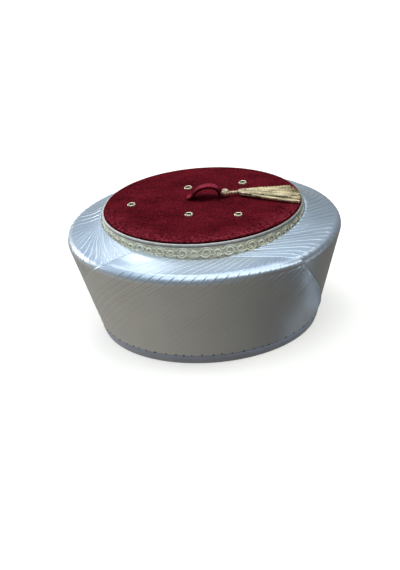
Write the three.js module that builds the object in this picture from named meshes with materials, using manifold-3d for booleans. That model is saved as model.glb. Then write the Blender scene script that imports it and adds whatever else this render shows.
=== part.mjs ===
// Ready-made turban: a flat velvet crown inside a flaring ring of wound, pleated satin.
// Millimetres, +Z up, origin at the middle of the base. The front faces -Y.
// Angles are in degrees about +Z, counted from the front towards +X.
import * as THREE from "three";
import { mergeVertices } from "three/addons/utils/BufferGeometryUtils.js";
import Module from "manifold-3d";

const wasm = await Module();
wasm.setup();

// Common sizes
const CLEARANCE = 0.3;
const ROUND_SEGMENTS = 64;
const DEGREE = Math.PI / 180;

// Velvet crown: a stiff cap, hollow and open below
const HEAD_RADIUS = 91;
const CROWN_WALL = 2;
const CROWN_TOP_RADIUS = 87.5;
const CROWN_TOP_Z = 110;
const CROWN_EDGE_ROUND = 2;
const CROWN_EDGE_STEPS = 3;

// Satin binding at the base
const BAND_HEIGHT = 8;
const BAND_FLANGE = 1.5;
const BAND_EDGE_ROUND = 0.8;
const BASE_RADIUS = 96;

// Braid round the top edge of the crown
const BRAID_TOP_Z = 108.2;
const BRAID_HEIGHT = 16.6;
const BRAID_THICKNESS = 1;
const BRAID_SELVAGE = 2.2;
const BRAID_SELVAGE_ROUND = 0.35;

// Outline of the wound satin: a straight wall, a round rim and a top that meets the braid
const RIM_RADIUS = 121.4;
const RIM_ROUND = 7;
const RIM_TOP_Z = 92.6;
const WRAP_TOP_INNER_RADIUS = 90.1;
const WRAP_FOOT_INNER_RADIUS = 93.4;
const WRAP_EDGE_Z = 99;
const WRAP_EDGE_Z_SWING = 4;
const WRAP_EDGE_SWING_ANGLE = -2;
const WRAP_EDGE_ROLL = 1.8;

// Pleats of the wound satin
const PLEAT_PITCH = 4.5;
const PLEAT_CREST = 0.62;
const PLEAT_DEPTH = 0.75;
const PLEATS_PER_INNER_FACET = 2;
const OVERLAP_LIFT = 1.2;
const OVERLAP_PLEATS = 8;
const PANEL_GAP = 0.28;

// Turn of a pleat line along the outline, counted from the rim, for each sense of winding
const WINDING = {
  rising: { side: 1, foot: -54, rimHalf: 3.5, braid: 27 },
  falling: { side: -1, foot: -44, rimHalf: 3.5, braid: 27 },
};
const TOP_TURN_POWER = 1.4;

// Passes of satin, in order round the rim; each one lies over the pass before it
const PANELS = [
  { name: "wrap_front", winding: "rising", start: -51 },
  { name: "wrap_right", winding: "falling", start: 39 },
  { name: "wrap_back", winding: "rising", start: 129 },
  { name: "wrap_left", winding: "falling", start: 219 },
];
const QUARTER_TURN = 90;

// Rows of the satin mesh in each zone of the outline, and where its inner face stands by then
const WRAP_ZONES = [
  { zone: "wall", steps: 6, innerFrom: 0, innerTo: 0.6 },
  { zone: "rim", steps: 4, innerFrom: 0.6, innerTo: 0.66 },
  { zone: "top", steps: 4, innerFrom: 0.66, innerTo: 1 },
];

// Brass eyelets
const EYELETS = [
  { x: -62.6, y: 4.6 },
  { x: -11.6, y: 35.4 },
  { x: 37.9, y: 38.1 },
  { x: -12.3, y: -28.2 },
  { x: 30.3, y: -36.7 },
];
const EYELET_BORE_RADIUS = 1.9;
const EYELET_BARREL_RADIUS = 2.4;
const EYELET_FLANGE_RADIUS = 3.75;
const EYELET_FLANGE_HEIGHT = 1.1;
const EYELET_ROLL_RADIUS = 3.2;
const EYELET_ROLL_HEIGHT = 0.9;
const EYELET_SEGMENTS = 10;

// Velvet strap arched over the middle of the crown: middle line from the left foot to the right
const LOOP_PLACE = { x: 2.9, y: 8.8, turn: -5.9 };
const LOOP_WIDTH = 8;
const LOOP_THICKNESS = 2;
const LOOP_STEPS = 16;
const LOOP_LINE = [
  { x: -15.5, z: 1.0 },
  { x: -11.5, z: 2.9 },
  { x: -6.5, z: 8.4 },
  { x: 0, z: 11.2 },
  { x: 7.5, z: 11.0 },
  { x: 12.2, z: 7.6 },
  { x: 13.2, z: 1.0 },
];

// Tassel: a knot, a thin neck and a bound head, and the locks that fan out from it
const TASSEL_STEM = [
  { x: 17.6, y: 8.2, z: 4.0, width: 2.4, height: 3.0 },
  { x: 19.2, y: 8.4, z: 4.0, width: 6.6, height: 6.4 },
  { x: 22.2, y: 8.6, z: 3.9, width: 7.4, height: 7.0 },
  { x: 24.6, y: 9.0, z: 3.6, width: 5.0, height: 4.8 },
  { x: 26.5, y: 9.4, z: 3.0, width: 3.4, height: 3.4 },
  { x: 31.5, y: 9.8, z: 2.8, width: 3.2, height: 3.2 },
  { x: 34.0, y: 9.7, z: 3.0, width: 5.8, height: 5.0 },
  { x: 37.5, y: 9.4, z: 3.0, width: 7.2, height: 5.4 },
  { x: 42.0, y: 8.8, z: 2.8, width: 7.6, height: 5.0 },
];
const TASSEL_ROOT = { x: 36.5, y: 9.4, width: 5.4 };
const TASSEL_LOCKS = 9;
const TASSEL_FAN = { from: -13, to: 12.2, radius: 87.2 };
const TASSEL_LOCK_STATIONS = [
  { along: 0, width: 2.6, height: 4.4, rise: 2.9 },
  { along: 0.3, width: 3.2, height: 4.2, rise: 2.7 },
  { along: 0.65, width: 4.4, height: 3.4, rise: 2.2 },
  { along: 0.94, width: 5.4, height: 2.8, rise: 1.8 },
  { along: 1, width: 4.6, height: 2.0, rise: 1.6 },
];
const TASSEL_LOCK_WAVE = 0.5;
const TASSEL_SIDES = 8;
const LOCK_SIDES = 6;

// Materials
const velvet = new THREE.MeshStandardMaterial({ color: 0x6b1220, roughness: 0.9, metalness: 0 });
const satin = new THREE.MeshStandardMaterial({ color: 0xd9dce2, roughness: 0.4, metalness: 0 });
const braidThread = new THREE.MeshStandardMaterial({ color: 0xb9ad8c, roughness: 0.5, metalness: 0.3 });
const goldThread = new THREE.MeshStandardMaterial({ color: 0xbf9f62, roughness: 0.45, metalness: 0.4 });
const brass = new THREE.MeshStandardMaterial({ color: 0xc9a253, roughness: 0.25, metalness: 1 });

// Sizes worked out from the driving ones
const WALL_TOP_Z = CROWN_TOP_Z - CROWN_EDGE_ROUND;
const CROWN_FOOT_Z = BAND_FLANGE + CLEARANCE;
const WRAP_FOOT_Z = BAND_HEIGHT + CLEARANCE;
const BRAID_FOOT_Z = BRAID_TOP_Z - BRAID_HEIGHT;
const RIM_CENTRE = { r: RIM_RADIUS - RIM_ROUND, z: RIM_TOP_Z - RIM_ROUND };
const WALL_LEAN = wallLean();
const PANEL_GAP_ANGLE = PANEL_GAP / CROWN_TOP_RADIUS / DEGREE;

// Lean of the satin wall from upright: it runs from the base edge and touches the round rim
function wallLean() {
  const out = RIM_CENTRE.r - BASE_RADIUS;
  const up = RIM_CENTRE.z;
  return Math.atan2(out, up) + Math.asin(RIM_ROUND / Math.hypot(out, up));
}

function wallRadius(z) {
  return BASE_RADIUS + z * Math.tan(WALL_LEAN);
}

// Outer radius of the crown's wall at a height
function crownRadius(z) {
  const foot = HEAD_RADIUS + CROWN_WALL;
  return THREE.MathUtils.mapLinear(z, CROWN_FOOT_Z, WALL_TOP_Z, foot, CROWN_TOP_RADIUS);
}

// Height at which the satin meets the braid: lowest at the front and the back
function wrapEdgeZ(angle) {
  const swing = Math.cos(2 * (angle - WRAP_EDGE_SWING_ANGLE) * DEGREE);
  return WRAP_EDGE_Z - WRAP_EDGE_Z_SWING * swing;
}

function point(r, angle, z) {
  return new THREE.Vector3(r * Math.sin(angle * DEGREE), -r * Math.cos(angle * DEGREE), z);
}

// Turn a closed profile of radius and height pairs about +Z
function turned(profile, segments) {
  const closed = [...profile, profile[0]];
  const points = closed.map(([r, z]) => new THREE.Vector2(r, z));
  return new THREE.LatheGeometry(points, segments).rotateX(Math.PI / 2);
}

function geometryFrom(vertices, triangles) {
  const geometry = new THREE.BufferGeometry();
  geometry.setAttribute("position", new THREE.Float32BufferAttribute(vertices, 3));
  geometry.setIndex(triangles);
  return geometry;
}

function solidFrom(geometry) {
  const bare = geometry.clone();
  bare.deleteAttribute("normal");
  bare.deleteAttribute("uv");
  const merged = mergeVertices(bare);
  const vertProperties = new Float32Array(merged.attributes.position.array);
  const triVerts = new Uint32Array(merged.index.array);
  return new wasm.Manifold(new wasm.Mesh({ numProp: 3, vertProperties, triVerts }));
}

function geometryOf(solid) {
  const mesh = solid.getMesh();
  return geometryFrom(Array.from(mesh.vertProperties), Array.from(mesh.triVerts));
}

// Closed tube through stations, each an ellipse that stands across the path
function loft(stations, sides) {
  const vertices = [];
  const triangles = [];
  const centres = stations.map((s) => new THREE.Vector3(s.x, s.y, s.z));
  stations.forEach((station, i) => {
    const before = centres[Math.max(i - 1, 0)];
    const after = centres[Math.min(i + 1, centres.length - 1)];
    const run = after.clone().sub(before).normalize();
    const across = new THREE.Vector3(-run.y, run.x, 0).normalize();
    const upright = run.clone().cross(across);
    for (let k = 0; k < sides; k += 1) {
      const turn = (k / sides) * 2 * Math.PI;
      const corner = centres[i].clone();
      corner.addScaledVector(across, (Math.cos(turn) * station.width) / 2);
      corner.addScaledVector(upright, (Math.sin(turn) * station.height) / 2);
      vertices.push(corner.x, corner.y, corner.z);
    }
  });
  for (let i = 0; i + 1 < stations.length; i += 1) {
    for (let k = 0; k < sides; k += 1) {
      const next = (k + 1) % sides;
      const a = i * sides + k;
      const b = i * sides + next;
      triangles.push(a, b, b + sides, a, b + sides, a + sides);
    }
  }
  const last = (stations.length - 1) * sides;
  for (let k = 1; k + 1 < sides; k += 1) {
    triangles.push(0, k + 1, k);
    triangles.push(last, last + k, last + k + 1);
  }
  return geometryFrom(vertices, triangles);
}

// Crown
function crownGeometry() {
  const foot = crownRadius(CROWN_FOOT_Z);
  const profile = [
    [foot - CROWN_WALL, CROWN_FOOT_Z],
    [foot, CROWN_FOOT_Z],
  ];
  for (let i = 0; i <= CROWN_EDGE_STEPS; i += 1) {
    const turn = (i / CROWN_EDGE_STEPS) * (Math.PI / 2);
    const r = CROWN_TOP_RADIUS - CROWN_EDGE_ROUND * (1 - Math.cos(turn));
    profile.push([r, WALL_TOP_Z + CROWN_EDGE_ROUND * Math.sin(turn)]);
  }
  profile.push([0, CROWN_TOP_Z]);
  profile.push([0, CROWN_TOP_Z - CROWN_WALL]);
  profile.push([CROWN_TOP_RADIUS - CROWN_WALL, CROWN_TOP_Z - CROWN_WALL]);
  let solid = solidFrom(turned(profile, ROUND_SEGMENTS));
  const holeRadius = EYELET_BARREL_RADIUS + CLEARANCE;
  const holeLength = CROWN_WALL * 3;
  for (const eyelet of EYELETS) {
    const hole = new THREE.CylinderGeometry(holeRadius, holeRadius, holeLength, EYELET_SEGMENTS);
    hole.rotateX(Math.PI / 2);
    hole.translate(eyelet.x, eyelet.y, CROWN_TOP_Z - CROWN_WALL / 2);
    solid = solid.subtract(solidFrom(hole));
  }
  return geometryOf(solid);
}

// Binding: an outer face that carries on the satin wall, and a flange under the crown's wall
function bandGeometry() {
  const inner = crownRadius(CROWN_FOOT_Z) + CLEARANCE;
  const profile = [
    [HEAD_RADIUS, 0],
    [BASE_RADIUS - BAND_EDGE_ROUND, 0],
    [wallRadius(BAND_EDGE_ROUND), BAND_EDGE_ROUND],
    [wallRadius(BAND_HEIGHT), BAND_HEIGHT],
    [inner, BAND_HEIGHT],
    [inner, BAND_FLANGE],
    [HEAD_RADIUS, BAND_FLANGE],
  ];
  return turned(profile, ROUND_SEGMENTS);
}

// Braid: a flat ribbon with a raised selvage along its top
function braidGeometry() {
  const face = (z) => crownRadius(z) + CLEARANCE + BRAID_THICKNESS;
  const selvageFoot = BRAID_TOP_Z - BRAID_SELVAGE;
  const selvageMiddle = BRAID_TOP_Z - BRAID_SELVAGE / 2;
  const profile = [
    [crownRadius(BRAID_FOOT_Z) + CLEARANCE, BRAID_FOOT_Z],
    [face(BRAID_FOOT_Z), BRAID_FOOT_Z],
    [face(selvageFoot), selvageFoot],
    [face(selvageMiddle) + BRAID_SELVAGE_ROUND, selvageMiddle],
    [face(BRAID_TOP_Z), BRAID_TOP_Z],
    [crownRadius(BRAID_TOP_Z) + CLEARANCE, BRAID_TOP_Z],
  ];
  return turned(profile, ROUND_SEGMENTS);
}

// Outline of the satin in the upright plane at an angle: a point and the direction outwards
function wrapOutline(row, angle) {
  const edge = { r: WRAP_TOP_INNER_RADIUS + WRAP_EDGE_ROLL, z: wrapEdgeZ(angle) };
  const out = RIM_CENTRE.r - edge.r;
  const up = edge.z - RIM_CENTRE.z;
  const topLean = Math.atan2(up, out) - Math.asin(RIM_ROUND / Math.hypot(out, up));
  const shareOfRim = { wall: 0, rim: row.t, top: 1 }[row.zone];
  const turn = THREE.MathUtils.lerp(-WALL_LEAN, Math.PI / 2 - topLean, shareOfRim);
  const rim = {
    r: RIM_CENTRE.r + RIM_ROUND * Math.cos(turn),
    z: RIM_CENTRE.z + RIM_ROUND * Math.sin(turn),
  };
  const outward = { r: Math.cos(turn), z: Math.sin(turn) };
  if (row.zone === "wall") {
    const z = THREE.MathUtils.lerp(WRAP_FOOT_Z, rim.z, row.t);
    return { r: wallRadius(z), z, outward };
  }
  if (row.zone === "rim") return { ...rim, outward };
  const r = THREE.MathUtils.lerp(rim.r, edge.r, row.t);
  const z = THREE.MathUtils.lerp(rim.z, edge.z, row.t);
  return { r, z, outward };
}

// Turn of a pleat line at a row of the outline
function pleatTurn(winding, row) {
  const { foot, rimHalf, braid } = WINDING[winding];
  if (row.zone === "wall") return THREE.MathUtils.lerp(foot, -rimHalf, row.t);
  if (row.zone === "rim") return THREE.MathUtils.lerp(-rimHalf, rimHalf, row.t);
  return THREE.MathUtils.lerp(rimHalf, braid, row.t ** TOP_TURN_POWER);
}

// Angle of the leading edge of a pass; passes are counted on round the rim
function leadingEdge(index, row) {
  const panel = PANELS[index % PANELS.length];
  const laps = Math.floor(index / PANELS.length) * 360;
  return panel.start + laps + WINDING[panel.winding].side * pleatTurn(panel.winding, row);
}

// Rows of the satin mesh from the foot to the braid, one of them where the falling passes close
function wrapRows() {
  const spread = (t) => {
    const row = { zone: "wall", t };
    return QUARTER_TURN + pleatTurn("rising", row) + pleatTurn("falling", row);
  };
  const apex = spread(0) / (spread(0) - spread(1));
  const rows = [{ zone: "wall", t: 0, inner: 0 }];
  for (const { zone, steps, innerFrom, innerTo } of WRAP_ZONES) {
    const from = zone === "wall" ? apex : 0;
    const first = zone === "wall" ? 0 : 1;
    for (let i = first; i <= steps; i += 1) {
      const t = THREE.MathUtils.lerp(from, 1, i / steps);
      rows.push({ zone, t, inner: THREE.MathUtils.lerp(innerFrom, innerTo, t) });
    }
  }
  return rows;
}

// Height of the satin over its outline: ridged pleats, and a lift where a pass lies over another
function wrapRelief(pleats) {
  const phase = pleats - Math.floor(pleats);
  const ridge = phase < PLEAT_CREST ? phase / PLEAT_CREST : (1 - phase) / (1 - PLEAT_CREST);
  const lift = Math.max(0, 1 - pleats / OVERLAP_PLEATS);
  return PLEAT_DEPTH * ridge + OVERLAP_LIFT * lift;
}

// One pass of satin: pleated face, inner wall, ends and edges, as one closed body
function panelGeometry(index) {
  const vertices = [];
  const triangles = [];
  const corners = [];

  function addVertex(position) {
    corners.push(position);
    vertices.push(position.x, position.y, position.z);
    return corners.length - 1;
  }

  function addTriangle(a, b, c) {
    if (a !== b && b !== c && c !== a) triangles.push(a, b, c);
  }

  // Two triangles that share the line from the first corner to the third
  function addFoldedQuad(a, b, c, d) {
    addTriangle(a, b, c);
    addTriangle(a, c, d);
  }

  // Two triangles that share the shorter line between opposite corners
  function addQuad(a, b, c, d) {
    const shortFirst = corners[a].distanceTo(corners[c]) <= corners[b].distanceTo(corners[d]);
    if (shortFirst) addFoldedQuad(a, b, c, d);
    else addFoldedQuad(b, c, d, a);
  }

  // Both edges of the pass at a row; they meet where a falling pass closes
  function edgesAt(row) {
    const start = leadingEdge(index, row);
    const end = Math.min(leadingEdge(index + 1, row), leadingEdge(index + 2, row));
    const middle = (start + end) / 2;
    const left = Math.min(start + PANEL_GAP_ANGLE, middle);
    const right = Math.max(end - PANEL_GAP_ANGLE, middle);
    return { start, left, right };
  }

  function innerPoint(row, angle) {
    const edgeZ = wrapEdgeZ(angle) - WRAP_EDGE_ROLL;
    const z = THREE.MathUtils.lerp(WRAP_FOOT_Z, edgeZ, row.inner);
    const r = THREE.MathUtils.lerp(WRAP_FOOT_INNER_RADIUS, WRAP_TOP_INNER_RADIUS, row.inner);
    return { r, z };
  }

  function innerVertex(row, angle) {
    const { r, z } = innerPoint(row, angle);
    return addVertex(point(r, angle, z));
  }

  // Point of the satin's face, raised along the line that comes from the inner wall
  function faceVertex(row, angle, height) {
    const { r, z, outward } = wrapOutline(row, angle);
    const foot = innerPoint(row, angle);
    const run = new THREE.Vector2(r - foot.r, z - foot.z).normalize();
    const travel = height / (run.x * outward.r + run.y * outward.z);
    return addVertex(point(r + run.x * travel, angle, z + run.y * travel));
  }

  function outerVertex(row, angle) {
    const { start, right } = edgesAt(row);
    const tucked = angle >= right;
    return faceVertex(row, angle, tucked ? 0 : wrapRelief((angle - start) / PLEAT_PITCH));
  }

  // Vertices of one row at the wanted pleats, held between the two edges of the pass
  function rowOf(row, pleatList, makeVertex) {
    const { start, left, right } = edgesAt(row);
    const indices = [];
    let lastAngle = null;
    for (const pleats of pleatList) {
      const angle = THREE.MathUtils.clamp(start + pleats * PLEAT_PITCH, left, right);
      indices.push(angle === lastAngle ? indices.at(-1) : makeVertex(row, angle));
      lastAngle = angle;
    }
    return indices;
  }

  // Strip between a coarse and a fine row of vertices, started on the coarse side
  function zip(coarseRow, fineRow, flipped) {
    const coarse = [...new Set(coarseRow)];
    const fine = [...new Set(fineRow)];
    let i = 0;
    let k = 0;
    while (i + 1 < coarse.length || k + 1 < fine.length) {
      const coarseNext = i === 0 ? 0 : (i + 1) / coarse.length;
      const fineNext = (k + 1) / fine.length;
      const onCoarse = k + 1 === fine.length || (i + 1 < coarse.length && coarseNext <= fineNext);
      const tip = onCoarse ? coarse[i + 1] : fine[k + 1];
      if (flipped) addTriangle(coarse[i], fine[k], tip);
      else addTriangle(coarse[i], tip, fine[k]);
      if (onCoarse) i += 1;
      else k += 1;
    }
  }

  const open = (row) => leadingEdge(index, row) < leadingEdge(index + 1, row) + PANEL_GAP_ANGLE;
  const rows = wrapRows().filter(open);
  const widths = rows.map((row) => edgesAt(row).right - edgesAt(row).start);
  const pleatCount = Math.ceil(Math.max(...widths) / PLEAT_PITCH);
  const fineList = [];
  const coarseList = [];
  for (let pleat = 0; pleat <= pleatCount; pleat += 1) {
    fineList.push(pleat, pleat + PLEAT_CREST);
    if (pleat % PLEATS_PER_INNER_FACET === 0) coarseList.push(pleat);
  }
  coarseList.push(pleatCount + 1);
  const outer = rows.map((row) => rowOf(row, fineList, outerVertex));
  const inner = rows.map((row) => rowOf(row, coarseList, innerVertex));
  const seam = rows.map((row, i) => {
    const { left, right } = edgesAt(row);
    return left < right ? faceVertex(row, left, 0) : outer[i][0];
  });

  for (let i = 0; i + 1 < rows.length; i += 1) {
    for (let k = 0; k + 1 < fineList.length; k += 1) {
      addQuad(outer[i][k], outer[i][k + 1], outer[i + 1][k + 1], outer[i + 1][k]);
    }
    for (let k = 0; k + 1 < coarseList.length; k += 1) {
      addQuad(inner[i][k + 1], inner[i][k], inner[i + 1][k], inner[i + 1][k + 1]);
    }
    addFoldedQuad(inner[i][0], seam[i], seam[i + 1], inner[i + 1][0]);
    addFoldedQuad(seam[i], outer[i][0], outer[i + 1][0], seam[i + 1]);
    addFoldedQuad(inner[i].at(-1), inner[i + 1].at(-1), outer[i + 1].at(-1), outer[i].at(-1));
  }
  zip(inner[0], [seam[0], ...outer[0]], false);
  zip(inner.at(-1), [seam.at(-1), ...outer.at(-1)], true);
  return geometryFrom(vertices, triangles);
}

// Eyelet: a flange on the velvet, a barrel through it and a rolled edge below
function eyeletGeometry() {
  const seat = CROWN_TOP_Z + CLEARANCE;
  const roll = CROWN_TOP_Z - CROWN_WALL - CLEARANCE;
  const profile = [
    [EYELET_BORE_RADIUS, roll - EYELET_ROLL_HEIGHT],
    [EYELET_ROLL_RADIUS, roll - EYELET_ROLL_HEIGHT],
    [EYELET_ROLL_RADIUS, roll],
    [EYELET_BARREL_RADIUS, roll],
    [EYELET_BARREL_RADIUS, seat],
    [EYELET_FLANGE_RADIUS, seat],
    [EYELET_FLANGE_RADIUS, seat + EYELET_FLANGE_HEIGHT / 2],
    [(EYELET_FLANGE_RADIUS + EYELET_BORE_RADIUS) / 2, seat + EYELET_FLANGE_HEIGHT],
    [EYELET_BORE_RADIUS, seat + EYELET_FLANGE_HEIGHT / 2],
  ];
  return turned(profile, EYELET_SEGMENTS);
}

// Strap loop: its side outline, drawn on both sides of a smooth middle line and given its width
function loopGeometry() {
  const line = new THREE.SplineCurve(LOOP_LINE.map(({ x, z }) => new THREE.Vector2(x, z)));
  const above = [];
  const below = [];
  for (let i = 0; i <= LOOP_STEPS; i += 1) {
    const middle = line.getPoint(i / LOOP_STEPS);
    const run = line.getTangent(i / LOOP_STEPS);
    const across = new THREE.Vector2(-run.y, run.x).multiplyScalar(LOOP_THICKNESS / 2);
    const floor = (p) => new THREE.Vector2(p.x, Math.max(p.y, 0));
    above.push(floor(middle.clone().add(across)));
    below.push(floor(middle.clone().sub(across)));
  }
  const shape = new THREE.Shape([...above, ...below.reverse()]);
  const geometry = new THREE.ExtrudeGeometry(shape, { depth: LOOP_WIDTH, bevelEnabled: false });
  geometry.translate(0, 0, -LOOP_WIDTH / 2);
  return geometry.rotateX(Math.PI / 2);
}

// Tassel: the locks fan out over the crown and are joined to the bound head
function tasselGeometry() {
  let solid = solidFrom(loft(TASSEL_STEM, TASSEL_SIDES));
  for (let i = 0; i < TASSEL_LOCKS; i += 1) {
    const share = i / (TASSEL_LOCKS - 1);
    const endAngle = THREE.MathUtils.lerp(TASSEL_FAN.from, TASSEL_FAN.to, share) * DEGREE;
    const end = {
      x: TASSEL_FAN.radius * Math.cos(endAngle),
      y: TASSEL_FAN.radius * Math.sin(endAngle),
    };
    const rootY = TASSEL_ROOT.y + (share - 0.5) * TASSEL_ROOT.width;
    const wave = i % 2 === 0 ? TASSEL_LOCK_WAVE : 0;
    const stations = TASSEL_LOCK_STATIONS.map(({ along, width, height, rise }) => ({
      x: THREE.MathUtils.lerp(TASSEL_ROOT.x, end.x, along),
      y: THREE.MathUtils.lerp(rootY, end.y, along),
      z: rise + wave * along,
      width,
      height,
    }));
    solid = solid.add(solidFrom(loft(stations, LOCK_SIDES)));
  }
  return geometryOf(solid);
}

function addPiece(parent, name, geometry, material) {
  const mesh = new THREE.Mesh(geometry, material);
  mesh.name = name;
  parent.add(mesh);
  return mesh;
}

const turban = new THREE.Group();
addPiece(turban, "crown", crownGeometry(), velvet.clone());
addPiece(turban, "braid", braidGeometry(), braidThread);
addPiece(turban, "base_band", bandGeometry(), satin.clone());
PANELS.forEach(({ name }, index) => addPiece(turban, name, panelGeometry(index), satin.clone()));
EYELETS.forEach(({ x, y }, index) => {
  addPiece(turban, `eyelet_${index + 1}`, eyeletGeometry(), brass.clone()).position.set(x, y, 0);
});

const onTop = new THREE.Group();
onTop.position.z = CROWN_TOP_Z + CLEARANCE;
turban.add(onTop);
const loop = addPiece(onTop, "crown_loop", loopGeometry(), velvet.clone());
loop.position.set(LOOP_PLACE.x, LOOP_PLACE.y, 0);
loop.rotation.z = LOOP_PLACE.turn * DEGREE;
addPiece(onTop, "tassel", tasselGeometry(), goldThread);

export default turban;
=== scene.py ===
# Dressed turban: pleated satin ring, velvet crown, scroll braid, brass eyelets, strap loop and gold tassel.
# Shapes are worked out in millimetres and written in metres, in the frame of the solids.
# Angles are in degrees about +Z, counted from the front (-Y) towards +X.
from math import asin, atan2, ceil, cos, degrees, dist, hypot, inf, pi, radians, sin, tan

import bpy
import numpy as np
from mathutils import Matrix, Vector


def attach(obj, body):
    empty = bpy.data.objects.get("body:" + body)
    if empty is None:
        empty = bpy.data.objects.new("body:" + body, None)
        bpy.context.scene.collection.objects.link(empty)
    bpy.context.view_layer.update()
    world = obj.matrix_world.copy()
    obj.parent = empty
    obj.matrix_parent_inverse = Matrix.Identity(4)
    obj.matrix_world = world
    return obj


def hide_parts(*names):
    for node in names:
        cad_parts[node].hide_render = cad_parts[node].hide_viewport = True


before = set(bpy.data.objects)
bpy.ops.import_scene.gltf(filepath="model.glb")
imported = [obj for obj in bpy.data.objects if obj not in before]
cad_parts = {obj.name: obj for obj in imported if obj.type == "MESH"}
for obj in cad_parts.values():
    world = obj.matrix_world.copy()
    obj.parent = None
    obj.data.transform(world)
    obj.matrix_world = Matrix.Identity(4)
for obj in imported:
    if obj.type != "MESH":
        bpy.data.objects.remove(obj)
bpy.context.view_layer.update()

MM = 0.001
BODY = "root"
rng = np.random.default_rng(7)

# Crown, band and braid, as in the solids
CLEARANCE = 0.3
HEAD_RADIUS = 91.0
CROWN_WALL = 2.0
CROWN_TOP_RADIUS = 87.5
CROWN_TOP_Z = 110.0
CROWN_EDGE_ROUND = 2.0
CROWN_FOOT_Z = 1.8
BAND_HEIGHT = 8.0
BAND_FLANGE = 1.5
BASE_RADIUS = 96.0
BRAID_TOP_Z = 108.2
BRAID_FOOT_Z = 91.6
BRAID_THICKNESS = 1.0
SEAT_Z = CROWN_TOP_Z + CLEARANCE

# Outline of the wound satin
RIM_RADIUS = 121.4
RIM_ROUND = 7.0
RIM_TOP_Z = 92.6
DEGREE_MM = radians(RIM_RADIUS)
RIM_CENTRE_R = RIM_RADIUS - RIM_ROUND
RIM_CENTRE_Z = RIM_TOP_Z - RIM_ROUND
WRAP_FOOT_Z = 8.3
INNER_FOOT_RADIUS = 93.4
WRAP_EDGE_RADIUS = 91.9
WRAP_EDGE_Z = 99.0
WRAP_SWING = 4.0
WRAP_SWING_ANGLE = -2.0
COLLAR_START = 0.4
COLLAR_RISE = 2.8
COLLAR_SLOPE = 0.8
COLLAR_FRONT = (78.0, 100.0)
COLLAR_BACK = (165.0, 135.0)
EDGE_ROLL_IN = 2.2
EDGE_ROLL_DOWN = 1.9
INNER_TOP_RADIUS = 89.9
INNER_DROP = 5.0
WALL_LEAN = atan2(RIM_CENTRE_R - BASE_RADIUS, RIM_CENTRE_Z) + asin(
    RIM_ROUND / hypot(RIM_CENTRE_R - BASE_RADIUS, RIM_CENTRE_Z)
)
RIM_ARC_MM = 11.8
TOP_RUN_MM = 23.0
WALL_RUN_MM = 75.0
ZONE_ROWS = (("wall", 34), ("rim", 18), ("top", 22), ("hem", 5))
INNER_SHARE = {"wall": (0.0, 0.6), "rim": (0.6, 0.66), "top": (0.66, 0.95), "hem": (0.95, 1.0)}

# Spacing of the pleats and the turn of their lines
PLEAT_PITCH = 4.5
PLEAT_MM = 9.5
PLEAT_JITTER = 0.09
PLEAT_STRENGTH = (0.82, 1.15)
PLEAT_SPACING = (0.05, 1.1)
PLEAT_FRACTIONS = {
    1: (0, 0.12, 0.26, 0.38, 0.43, 0.455, 0.48, 0.5, 0.6, 0.7, 0.78, 0.82, 0.85, 0.88, 0.91, 0.94, 0.975),
    -1: (0, 0.03, 0.06, 0.095, 0.14, 0.22, 0.34, 0.5, 0.66, 0.78, 0.86, 0.905, 0.94, 0.97),
}
EDGE_FRACTIONS = (0.0, 0.01, 0.03, 0.06, 0.1, 0.14)
SPARE_PLEATS = 14
PLAIN_PLEATS = {1: 1.9, -1: 0.4}
PLAIN_FADE = 0.5
FOOT_TURN = {1: -54.0, -1: -44.0}
WALL_TURN_POWER = {1: 1.0, -1: 1.15}
RIM_TURN = 3.5
TOP_TURN_POWER = 1.3

# Section of a pleat, with heights and widths in shares of a pleat
PLEAT_CREST = 0.90
PLEAT_FOLD = 0.45
FOLD_WIDTH = 0.06
PLEAT_GROOVE = (0.22, 0.028)
CORD_HEIGHT = 0.75
CORD_WIDTH = 0.075
SLIT_MM = 0.45
SLIT_WIDTHS = (0.2, 0.06)
SLIT_FADE = 3.0
SLIT_SPACING = (0.2, 1.0)
SLIT_RISE = (0.25, 0.875)
FINE_PLEATS = (13.0, 19.0)
FINE_MOST = 0.75
FINE_LEAST = 0.6
FINE_MAIN_LOSS = 0.4
FINE_HALF_HEIGHT = 0.55
WALL_SOFTNESS = 0.7
CALM_PLEATS = (6.0, 12.0)
CALM_LOSS = 0.6

# Edges of a pass: its lifted and rolled start, the crease of the rim and its leaf-like right end
OVERLAP_LIFT = {1: 1.3, -1: 0.4}
OVERLAP_PLEATS = 8.0
WALL_LIFT_SHARE = 0.12
LIFT_RUN = 0.8
SHOULDER_LIFT = 0.7
EDGE_ROLL_MM = 2.6
EDGE_DROP = 0.3
SAG = 0.18
CREASE_AT = 0.54
CREASE_DROP = 0.24
CREASE = (1.8, 2.4)
CREASE_REACH = 95.0
LEAF_MM = 18.0
LEAF_REACH = 70.0
LEAF_SWELL = 1.1
LEAF_DIP = 0.6
LEAF_LINES = 7.0
LEAF_RIM_SHARE = 0.4
LEAF_RIM_LOSS = 0.6
TUCK_MM = 2.0
TUCK_WIDTH = 12.0

# Depth of the pleats along the outline, for rising and falling passes
PLEAT_DEPTHS = {
    1: {
        "wall": ((0.0, 0.08, 0.8, 1.0), (0.04, 0.15, 0.18, 0.24)),
        "rim": ((0.0, 0.4, 1.0), (0.26, 0.27, 0.28)),
        "top": ((0.0, 0.5, 1.0), (0.28, 0.30, 0.18)),
        "hem": ((0.0, 1.0), (0.18, 0.0)),
    },
    -1: {
        "wall": ((0.0, 0.3, 0.7, 1.0), (0.10, 0.20, 0.46, 0.62)),
        "rim": ((0.0, 0.5, 1.0), (0.60, 0.78, 0.60)),
        "top": ((0.0, 0.5, 1.0), (0.58, 0.50, 0.40)),
        "hem": ((0.0, 1.0), (0.30, 0.0)),
    },
}

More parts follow.
